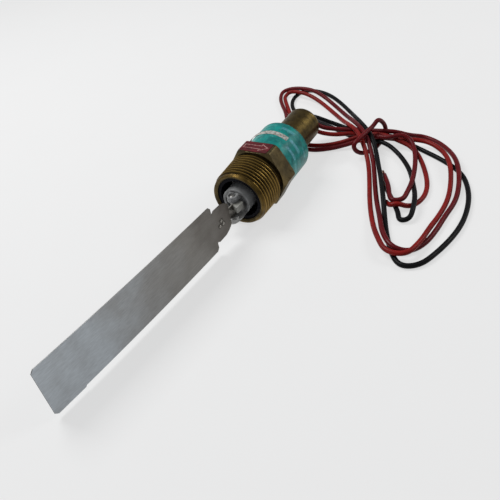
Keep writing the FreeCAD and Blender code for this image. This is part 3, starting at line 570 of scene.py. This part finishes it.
# %% Turned blank
blank = [(TRIM_END, NECK_R), (HEX_START, NECK_R)]
blank += slope((HEX_START, HEX_FLAT - 0.1), (HEX_START + CHAMFER, HEX_CORNER), 10)
blank += slope((HEX_START + CHAMFER, HEX_CORNER), (HEX_END - 0.6, HEX_CORNER), 4)
blank += slope((HEX_END - 0.6, HEX_CORNER), (HEX_END, HEX_CORNER - 1.0), 6)
blank += [(HEX_END, HEX_CORNER - 1.0), (HEX_END, STEM_R + 0.2), (HEX_END + 0.2, STEM_R)]
blank += [(STEM_END - 0.8, STEM_R), (STEM_END - 0.2, STEM_R - 0.4), (STEM_END, STEM_R - 0.9)]
blank += [(STEM_END, SOCKET_R + 0.3), (STEM_END - 0.3, SOCKET_R), (SOCKET_FLOOR, SOCKET_R)]
blank += [(SOCKET_FLOOR, BORE_R), (MOUTH_FLOOR, BORE_R), (MOUTH_FLOOR, MOUTH_R)]
blank += [(GROOVE_END, MOUTH_R), (GROOVE_END, GROOVE_R), (GROOVE_START, GROOVE_R), (GROOVE_START, MOUTH_R)]
blank += [(0.9, MOUTH_R), (0.15, MOUTH_R + 0.7), (0.0, MOUTH_R + 0.95)]
skin = bmesh.new()
spin_round(skin, blank, 192)
print("blank", len(blank), "points,", len(skin.faces), "faces")

# %% Milled flats, and thread and blank in one shell
for vert in skin.verts:
    behind = (vert.co.y - MOUTH_Y) / MM
    if HEX_START - 0.01 <= behind <= HEX_END + 0.01 and radius_of(vert) > (STEM_R + 0.3) * MM:
        turn = math.degrees(math.atan2(vert.co.z, vert.co.x)) % 60.0 - 30.0
        set_radius(vert, min(radius_of(vert), HEX_FLAT * MM / math.cos(math.radians(turn))))
turned = bpy.data.meshes.new("turned_blank")
skin.to_mesh(turned)
skin.free()
shell.from_mesh(turned)
bpy.data.meshes.remove(turned)


# %% Close the two rims and finish the fitting
MOUTH_WALL_R = 14.6    # the thread's finish starts outside this


def open_rim(bm, behind):
    """Boundary edges that lie in one plane across the axis."""
    level = MOUTH_Y + behind * MM
    return [e for e in bm.edges if e.is_boundary and all(abs(v.co.y - level) < MERGE for v in e.verts)]


for rim in (0.0, TRIM_END):
    loops = open_rim(shell, rim)
    filled = bmesh.ops.triangle_fill(shell, use_beauty=True, use_dissolve=False, edges=loops)
    faces = [item for item in filled["geom"] if isinstance(item, bmesh.types.BMFace)]
    print("rim at", rim, len(loops), "edges, filled with", len(faces))
fitting = finish_piece(shell, "brass_fitting", thread_brass, "switch_body", "fitting_body")
fitting.data.materials.append(body_brass)
for polygon in fitting.data.polygons:
    inside = math.hypot(polygon.center.x, polygon.center.z - AXIS_Z) < MOUTH_WALL_R * MM
    polygon.material_index = 1 if polygon.center.y > MOUTH_Y + TRIM_END * MM or inside else 0

# %% [markdown]
# ## Finishes for the solids that stay
# The steel sheets, the plastic hub and the small turned parts already have the right shape. Their solids
# arrive as loose triangles, so a copy is merged, flat triangles are joined to whole faces, and edges over
# thirty degrees are marked sharp so that round walls shade smoothly. The two mouldings also get a small bevel
# along their edges. What sits unseen inside the fitting keeps its solid and gets a finish only.

# %% Keep a solid that hides inside, and give it a finish
def dress(name, material):
    """Give a solid its finish and change nothing else."""
    piece = nodes[name]
    piece.data.materials.clear()
    piece.data.materials.append(material)


# %% Or work on a merged copy of a solid that shows
def refine(name, material, body, bevel=0.0):
    """Merged copy of a solid with true shading, and soft edges if it has a bevel, which stands for it."""
    bm = bmesh.new()
    bm.from_mesh(nodes[name].data)
    bmesh.ops.remove_doubles(bm, verts=bm.verts, dist=0.003 * MM)
    bmesh.ops.dissolve_limit(bm, angle_limit=math.radians(0.3), verts=bm.verts, edges=bm.edges)
    if bevel:
        least = math.radians(40)
        corners = [e for e in bm.edges if len(e.link_faces) == 2 and e.calc_face_angle(0.0) > least]
        bmesh.ops.bevel(bm, geom=corners, offset=bevel * MM, offset_type="OFFSET", segments=2, profile=0.5,
                        affect="EDGES", material=-1, clamp_overlap=True)
    open_edges = len([e for e in bm.edges if len(e.link_faces) != 2])
    sharpen(bm)
    mesh = bpy.data.meshes.new(name + "_fine")
    bm.to_mesh(mesh)
    bm.free()
    mesh.materials.append(material)
    piece = bpy.data.objects.new(name + "_fine", mesh)
    scene.collection.objects.link(piece)
    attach(piece, body)
    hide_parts(name)
    print(name, len(mesh.polygons), "faces,", open_edges, "open edges")
    return piece


# %% [markdown]
# ## Steel
# The paddle is rolled stainless sheet, brushed along its length and dulled by water. One noise, stretched
# some eighty times along the sheet, makes the brush lines, and a soft one lets the tone drift. The tone also
# runs along the length, from dark brown at the neck to pale blue at the tip: a painted reflection of the
# surroundings. A thin dark ring of painted shade is drawn round each rivet head.

# %% Painted shade round the rivets
RIVET_PLACES = ((20.0, 0.9), (21.7, -1.6), (18.7, -1.7))   # in front of the mouth, above the axis


def rivet_shade_ring(tree, ahead, up):
    """1 in a thin ring of painted shade round a rivet head, 0 elsewhere."""
    behind, _, _ = round_axis(tree)
    separate = tree.nodes.new("ShaderNodeSeparateXYZ")
    plug(tree, object_place(tree), separate.inputs["Vector"])
    height = math_node(tree, "DIVIDE", math_node(tree, "SUBTRACT", separate.outputs["Z"], AXIS_Z), MM)
    across, over = math_node(tree, "ADD", behind, ahead), math_node(tree, "SUBTRACT", height, up)
    far = math_node(tree, "SQRT", math_node(tree, "ADD", math_node(tree, "MULTIPLY", across, across),
                                            math_node(tree, "MULTIPLY", over, over)))
    return math_node(tree, "MULTIPLY", ramp(tree, far, 1.9, 1.1), ramp(tree, far, 0.75, 1.0))


# %% Brushed steel
def brushed_steel(name, tones, roughness, first, last, spots=0.0, rings=()):
    """tones are colours from the first to the last distance in front of the mouth, in millimetres."""
    material, tree, surface = shader(name, tones[0], roughness, 1.0)
    behind, _, _ = round_axis(tree)
    along = ramp(tree, math_node(tree, "MULTIPLY", behind, -1.0), first, last)
    drift = math_node(tree, "MULTIPLY", math_node(tree, "SUBTRACT", noise(tree, 26.0, detail=4.0), 0.5), 0.25)
    run = tree.nodes.new("ShaderNodeValToRGB")
    for k, tone in enumerate(tones):
        place = k / (len(tones) - 1)
        stop = run.color_ramp.elements[k] if k < 2 else run.color_ramp.elements.new(place)
        stop.position = place
        stop.color = (*tone, 1.0)
    plug(tree, math_node(tree, "ADD", along, drift), run.inputs["Fac"])
    lines = noise(tree, 0.45, detail=5.0, low=0.30, high=0.70, scale=(1, 0.012, 1), turn=(0, 0, -4))
    color = blend(tree, math_node(tree, "MULTIPLY", lines, 0.22), run.outputs["Color"], (0.16, 0.155, 0.15))
    if spots:
        stain = noise(tree, 11.0, detail=6.0, low=0.46, high=0.80)
        color = blend(tree, math_node(tree, "MULTIPLY", stain, spots), color, (0.13, 0.110, 0.095))
    for ahead, up in rings:
        # Each ring darkens the sheet round a rivet head: painted shade.
        rivet_shade = math_node(tree, "MULTIPLY", rivet_shade_ring(tree, ahead, up), 0.7)
        color = blend(tree, rivet_shade, color, (0.035, 0.030, 0.026))
    plug(tree, color, surface.inputs["Base Color"])
    plug(tree, between(tree, lines, roughness, roughness + 0.14), surface.inputs["Roughness"])
    bump(tree, surface, lines, 0.01, 0.35)
    return material


# From the dark brown neck to the pale blue tip: a painted reflection.
blade_reflection_tones = [(0.105, 0.092, 0.078), (0.245, 0.237, 0.220), (0.29, 0.292, 0.29), (0.43, 0.465, 0.495)]
blade_steel = brushed_steel("steel_blade", blade_reflection_tones, 0.40, 10.0, 114.0, spots=0.22, rings=RIVET_PLACES)
# The dark tone of the blade's cut edges is painted shade along its outline.
cut_edge_shade_steel = brushed_steel("steel_cut_edge_shade", [(0.12, 0.11, 0.10), (0.20, 0.20, 0.20)], 0.45, 16.0, 118.0)
arm_steel = brushed_steel("steel_arm", [(0.36, 0.35, 0.32), (0.24, 0.22, 0.19)], 0.32, 4.0, 30.0, spots=0.5)
small_steel = brushed_steel("steel_small", [(0.58, 0.57, 0.55), (0.50, 0.49, 0.47)], 0.22, 0.0, 20.0)

# %% Steel pieces, and the cut edges of the blade, darkened as painted shade
blade = refine("paddle_blade", blade_steel, "paddle")
blade.data.materials.append(cut_edge_shade_steel)
for polygon in blade.data.polygons:
    polygon.material_index = 1 if abs(polygon.normal.x) < 0.6 else 0
refine("hinge_arm", arm_steel, "paddle")
refine("blade_rivets", arm_steel, "paddle")
refine("return_spring", small_steel, "paddle")
refine("hinge_pin", small_steel, "switch_body")
refine("pin_clip", small_steel, "switch_body")
refine("retaining_ring", small_steel, "switch_body")

# %% [markdown]
# ## Plastic, rubber and the parts inside
# The hub is moulded in grey plastic with a faint grain, and its lower ear gets a paler, shinier copy of
# that plastic as a painted highlight; the magnet's holder is in much the same. The liner, seals and bushing
# are black rubber. The parts inside the fitting are hidden in use, and still get a finish each.

# %% Plastic and rubber materials
def moulded(name, color, darker, roughness, grain=0.6, shine=0.5):
    """Plastic, rubber or resin between two tones, with a faint grain."""
    material, tree, surface = shader(name, color, roughness, Specular_IOR_Level=shine)
    plug(tree, blend(tree, noise(tree, 4.0, detail=4.0), color, darker), surface.inputs["Base Color"])
    patchy = between(tree, noise(tree, 2.0), roughness - 0.05, roughness + 0.12)
    plug(tree, patchy, surface.inputs["Roughness"])
    bump(tree, surface, noise(tree, grain, detail=3.0), 0.012, 0.6)
    return material


hub_plastic = moulded("plastic_hub", (0.24, 0.245, 0.245), (0.15, 0.15, 0.15), 0.32)
# A paler, shinier copy of the hub plastic: a painted highlight on the lower ear.
ear_highlight_plastic = moulded("plastic_ear_highlight", (0.50, 0.49, 0.47), (0.26, 0.26, 0.25), 0.24, shine=0.7)
holder_plastic = moulded("plastic_holder", (0.24, 0.24, 0.22), (0.17, 0.17, 0.15), 0.36)
black_rubber = moulded("rubber_black", (0.003, 0.003, 0.007), (0.005, 0.005, 0.008), 0.6, shine=0.1)
resin = moulded("resin_potting", (0.02, 0.018, 0.015), (0.03, 0.026, 0.022), 0.15, grain=3.0)
sleeve_plastic = moulded("plastic_splice", (0.55, 0.52, 0.42), (0.48, 0.45, 0.36), 0.5)
plated, tree, surface = shader("metal_plated", (0.70, 0.68, 0.64), 0.2, 1.0)
plug(tree, blend(tree, noise(tree, 1.0), (0.70, 0.68, 0.64), (0.58, 0.57, 0.55)),
     surface.inputs["Base Color"])
glass, tree, surface = shader("glass_reed", (0.80, 0.92, 0.84), 0.05, IOR=1.5, Transmission_Weight=0.9)
plug(tree, between(tree, noise(tree, 2.0), 0.03, 0.10), surface.inputs["Roughness"])

# %% Plastic, rubber and hidden pieces
EAR_AHEAD = 2.2      # the hub's lower ear starts this far in front of the mouth
EAR_ABOVE = -4.0     # and lies lower than this from the axis

hub = refine("hinge_hub", hub_plastic, "switch_body", bevel=0.18)
hub.data.materials.append(ear_highlight_plastic)
# The lower ear takes the paler plastic: a painted highlight.
for polygon in hub.data.polygons:
    ahead, above = (MOUTH_Y - polygon.center.y) / MM, (polygon.center.z - AXIS_Z) / MM
    polygon.material_index = 1 if ahead > EAR_AHEAD and above < EAR_ABOVE else 0
refine("magnet_holder", holder_plastic, "paddle", bevel=0.10)
refine("bore_liner", black_rubber, "switch_body")
refine("rear_cap", cap_brass, "switch_body")
refine("lead_bushing", black_rubber, "switch_body")
for hidden, material in (("hub_seal", black_rubber), ("cap_seal", black_rubber), ("potting_plug", resin),
                         ("lead_splices", sleeve_plastic), ("inner_leads", black_insulation),
                         ("reed_capsule", glass), ("reed_contacts", plated), ("reed_tails", plated),
                         ("reed_carrier", holder_plastic), ("magnet", plated)):
    dress(hidden, material)

# %% [markdown]
# ## Label
# A sleeve of glossy blue-green film is shrunk on the stem, and a pale paper strip is stuck part of the way
# round it. The strip has come loose at its far end and stands off the film. The print is plain: short pale
# bars that run round the sleeve. They are windows on two coordinates, the distance behind the mouth and the
# angle about the axis.

# %% Label film
LABEL_START, LABEL_END = 33.4, 57.0
LABEL_INNER_R, LABEL_R = 16.36, 16.62
film_teal, tree, surface = shader("film_teal", (0.002, 0.20, 0.175), 0.34, Specular_IOR_Level=0.28)
behind, _, angle = round_axis(tree)


def window(tree, value, low, high, soft):
    """1 between low and high, 0 outside, with soft edges."""
    rise, fall = ramp(tree, value, low, low + soft), ramp(tree, value, high, high - soft)
    return math_node(tree, "MULTIPLY", rise, fall)


clouds = noise(tree, 5.0, detail=5.0, low=0.36, high=0.64)
color = blend(tree, clouds, (0.001, 0.250, 0.220), (0.002, 0.130, 0.125))
rubbed = noise(tree, 2.4, detail=6.0, low=0.54, high=0.74)
color = blend(tree, math_node(tree, "MULTIPLY", rubbed, 0.45), color, (0.10, 0.38, 0.34))
worn = noise(tree, 0.9, detail=4.0, low=0.40, high=0.60)

# %% Bars, painted shade at the ends, and relief of the film
BARS = (   # from and to behind the mouth, from and to in degrees, strength
    (45.0, 47.9, 14, 51, 0.85), (39.0, 41.6, 10, 47, 0.80), (38.4, 40.6, -14, 8, 0.50),
    (51.0, 53.8, 46, 80, 0.50), (50.4, 52.4, -8, 22, 0.45))
LABEL_END_SHADE = 1.4

for first, last, start, end, strength in BARS:
    along, across = window(tree, behind, first, last, 0.7), window(tree, angle, start, end, 5.0)
    bar = math_node(tree, "MULTIPLY", along, across)
    bar = math_node(tree, "MULTIPLY", bar, between(tree, worn, 0.35 * strength, strength))
    color = blend(tree, bar, color, (0.16, 0.42, 0.52))
# Painted shade where the film meets the hexagon and the cap, broken up by noise.
edge = math_node(tree, "MAXIMUM", ramp(tree, behind, LABEL_START + LABEL_END_SHADE, LABEL_START),
                 ramp(tree, behind, LABEL_END - LABEL_END_SHADE, LABEL_END))
color = blend(tree, math_node(tree, "MULTIPLY", edge, worn), color, (0.012, 0.060, 0.050))
plug(tree, color, surface.inputs["Base Color"])
bump(tree, surface, noise(tree, 5.0, detail=2.0), 0.15, 0.7)

# %% Label sleeve
wrap = bmesh.new()
spin_round(wrap, [(LABEL_START, LABEL_INNER_R), (LABEL_START, LABEL_R), (LABEL_END, LABEL_R),
                  (LABEL_END, LABEL_INNER_R), (LABEL_START, LABEL_INNER_R)], 180)
bmesh.ops.remove_doubles(wrap, verts=wrap.verts, dist=MERGE)
finish_piece(wrap, "label_film", film_teal, "switch_body", "label_sleeve")

# %% Paper strip with a loose end
STRIP_START, STRIP_END = 43.7, 47.3                       # behind the mouth
STRIP_THICKNESS = 0.1
STRIP_FROM, STRIP_LOOSE, STRIP_TO = 53.0, 112.0, 166.0    # degrees about the axis
STRIP_LIFT, STRIP_DRIFT = 2.0, 2.4                        # how far its end stands off and slides back
paper, tree, surface = shader("paper_strip", (0.40, 0.40, 0.37), 0.7)
stain = noise(tree, 1.6, detail=5.0, low=0.42, high=0.66)
plug(tree, blend(tree, stain, (0.40, 0.40, 0.37), (0.15, 0.12, 0.10)), surface.inputs["Base Color"])
bump(tree, surface, noise(tree, 0.7, detail=3.0), 0.03, 0.6)

strip = bmesh.new()
outer = LABEL_R + STRIP_THICKNESS
spin_round(strip, [(STRIP_START, LABEL_R), (STRIP_END, LABEL_R), (STRIP_END, outer), (STRIP_START, outer),
                   (STRIP_START, LABEL_R)], 60, angle=STRIP_FROM - STRIP_TO)
bmesh.ops.remove_doubles(strip, verts=strip.verts, dist=MERGE)
bmesh.ops.holes_fill(strip, edges=[e for e in strip.edges if e.is_boundary], sides=4)
bmesh.ops.rotate(strip, verts=strip.verts, matrix=Matrix.Rotation(-math.radians(STRIP_FROM), 3, "Y"))
for vert in strip.verts:
    turn = math.degrees(math.atan2(vert.co.z, vert.co.x))
    loose = max(0.0, (turn - STRIP_LOOSE) / (STRIP_TO - STRIP_LOOSE))
    set_radius(vert, radius_of(vert) + STRIP_LIFT * loose ** 1.6 * MM)
    vert.co.y += STRIP_DRIFT * loose * MM
finish_piece(strip, "label_strip", paper, "switch_body", None)

# %% [markdown]
# ## Red plate
# The flat that faces up carries a small dark red plate with a plain arrow: the way the water has to flow. The
# arrow is only an outline, so it is drawn as a seven-cornered face, inset by the width of the line, and the
# ring that the inset leaves is given a hair's thickness like thick paint.

# %% Red plate
plate_red, tree, surface = shader("plate_red", (0.10, 0.005, 0.010), 0.42, Specular_IOR_Level=0.25)
plug(tree, blend(tree, noise(tree, 2.2, detail=5.0), (0.125, 0.007, 0.012), (0.050, 0.004, 0.006)),
     surface.inputs["Base Color"])
refine("flow_arrow_plate", plate_red, "switch_body")

# %% Painted arrow
ARROW_LINE = 0.62
PAINT_THICKNESS = 0.06

arrow_paint, tree, surface = shader("paint_pale", (0.32, 0.16, 0.16), 0.5)
scuffed = noise(tree, 0.8, detail=4.0, low=0.42, high=0.62)
plug(tree, blend(tree, scuffed, (0.36, 0.19, 0.18), (0.15, 0.03, 0.03)), surface.inputs["Base Color"])
plate_low, plate_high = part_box("flow_arrow_plate")
middle = (plate_low + plate_high) / 2
tail, neck, tip, slim, wide = -7.6, 2.6, 8.0, 1.9, 3.7
outline = [(tail, -slim), (neck, -slim), (neck, -wide), (tip, 0.0), (neck, wide), (neck, slim), (tail, slim)]
arrow = bmesh.new()
corners = [arrow.verts.new((middle.x + x * MM, middle.y + y * MM, plate_high.z)) for x, y in outline]
face = arrow.faces.new(corners)
arrow.normal_update()
bmesh.ops.inset_region(arrow, faces=[face], thickness=ARROW_LINE * MM, use_boundary=True,
                       use_even_offset=True)
bmesh.ops.delete(arrow, geom=[face], context="FACES_ONLY")
raised = bmesh.ops.extrude_face_region(arrow, geom=arrow.faces[:], use_keep_orig=True)
top = [item for item in raised["geom"] if isinstance(item, bmesh.types.BMVert)]
bmesh.ops.translate(arrow, vec=(0, 0, PAINT_THICKNESS * MM), verts=top)
finish_piece(arrow, "plate_arrow", arrow_paint, "switch_body", None, lift=0.0)

# %% [markdown]
# ## Floor, backdrop and light
# The switch lies on a plain pale table. Seen directly, the table is nearly even, with a soft shadow under the
# object. One lamp high on the left is the studio's soft box, a weaker one behind on the right draws the rims,
# and the world fills the rest.

# %% Floor
FLOOR_HALF = 8.0    # metres

bm = bmesh.new()
bmesh.ops.create_grid(bm, x_segments=1, y_segments=1, size=FLOOR_HALF)
mesh = bpy.data.meshes.new("floor")
bm.to_mesh(mesh)
bm.free()
floor = bpy.data.objects.new("floor", mesh)
scene.collection.objects.link(floor)
print("floor", round(floor.dimensions.x, 1), "m wide")
pale, tree, surface = shader("floor_pale", (0.80, 0.80, 0.80), 0.9)
plug(tree, blend(tree, noise(tree, 40.0), (0.80, 0.80, 0.80), (0.79, 0.79, 0.79)),
     surface.inputs["Base Color"])
glow = tree.nodes.new("ShaderNodeEmission")
glow.inputs["Color"].default_value = (0.83, 0.83, 0.83, 1.0)
path = tree.nodes.new("ShaderNodeLightPath")
seen = math_node(tree, "MAXIMUM", path.outputs["Is Camera Ray"], path.outputs["Is Glossy Ray"])
seen = math_node(tree, "MAXIMUM", seen, path.outputs["Is Transmission Ray"])
share = math_node(tree, "MULTIPLY", seen, 0.75)
mix = tree.nodes.new("ShaderNodeMixShader")
plug(tree, share, mix.inputs["Fac"])
plug(tree, surface.outputs["BSDF"], mix.inputs[1])
plug(tree, glow.outputs["Emission"], mix.inputs[2])
plug(tree, mix.outputs["Shader"], tree.nodes["Material Output"].inputs["Surface"])
floor.data.materials.append(pale)

# %% World and lamps
LAMP_TARGET = Vector((0.02, 0.03, 0.0))

world = bpy.data.worlds.new("studio")
scene.world = world
world.use_nodes = True
background = world.node_tree.nodes["Background"]
background.inputs["Color"].default_value = (0.9, 0.92, 0.95, 1.0)
background.inputs["Strength"].default_value = 0.32


def soft_box(name, place, size, power):
    """Area lamp of that many watts, turned to the object."""
    lamp = bpy.data.lights.new(name, "AREA")
    lamp.shape = "RECTANGLE"
    lamp.size, lamp.size_y = size
    lamp.energy = power
    holder = bpy.data.objects.new(name, lamp)
    holder.location = place
    holder.rotation_euler = (Vector(place) - LAMP_TARGET).to_track_quat("Z", "Y").to_euler()
    scene.collection.objects.link(holder)


soft_box("key", (-0.45, 0.05, 0.70), (0.40, 0.40), 5.5)
soft_box("rim", (0.55, 0.55, 0.55), (0.30, 0.30), 2.2)
scene.view_settings.view_transform = "Standard"
